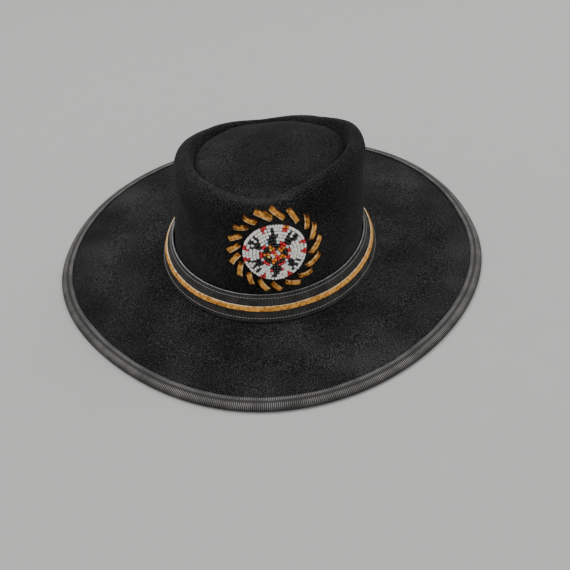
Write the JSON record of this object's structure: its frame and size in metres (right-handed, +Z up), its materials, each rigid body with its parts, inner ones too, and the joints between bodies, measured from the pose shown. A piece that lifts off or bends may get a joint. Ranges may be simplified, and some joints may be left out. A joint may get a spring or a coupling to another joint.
{
  "type": "suede cowboy hat with a flat brim",
  "caption": "Black suede hat with a wide flat ribbon-bound brim, a low rolled-rim crown, a leather band with a tan lace and a beaded rosette laced to the front.",
  "frame": {"origin": "on the ground, under the middle of the brim's outline", "axes": "+Z up, -Y the front of the hat with the rosette, +X the wearer's left"},
  "size_m": [0.38, 0.406, 0.1141],
  "materials": {
    "black_suede": "matt napped suede",
    "black_ribbon": "ribbed grosgrain",
    "black_leather": "satin",
    "tan_suede": "matt suede lace",
    "seed_beads": "glossy opaque seed beads, mostly ivory white"
  },
  "bodies": {
    "root": {"crown": "black_suede", "brim": "black_suede", "brim_binding": "black_ribbon", "hat_band": "black_leather", "band_lace": "tan_suede", "rosette": "seed_beads", "lace_stitch_01": "tan_suede", "lace_stitch_02": "tan_suede", "lace_stitch_03": "tan_suede", "lace_stitch_04": "tan_suede", "lace_stitch_05": "tan_suede", "lace_stitch_06": "tan_suede", "lace_stitch_07": "tan_suede", "lace_stitch_08": "tan_suede", "lace_stitch_09": "tan_suede", "lace_stitch_10": "tan_suede", "lace_stitch_11": "tan_suede", "lace_stitch_12": "tan_suede", "lace_stitch_13": "tan_suede", "lace_stitch_14": "tan_suede", "lace_stitch_15": "tan_suede", "lace_stitch_16": "tan_suede", "lace_stitch_17": "tan_suede", "lace_stitch_18": "tan_suede"}
  },
  "joints": []
}
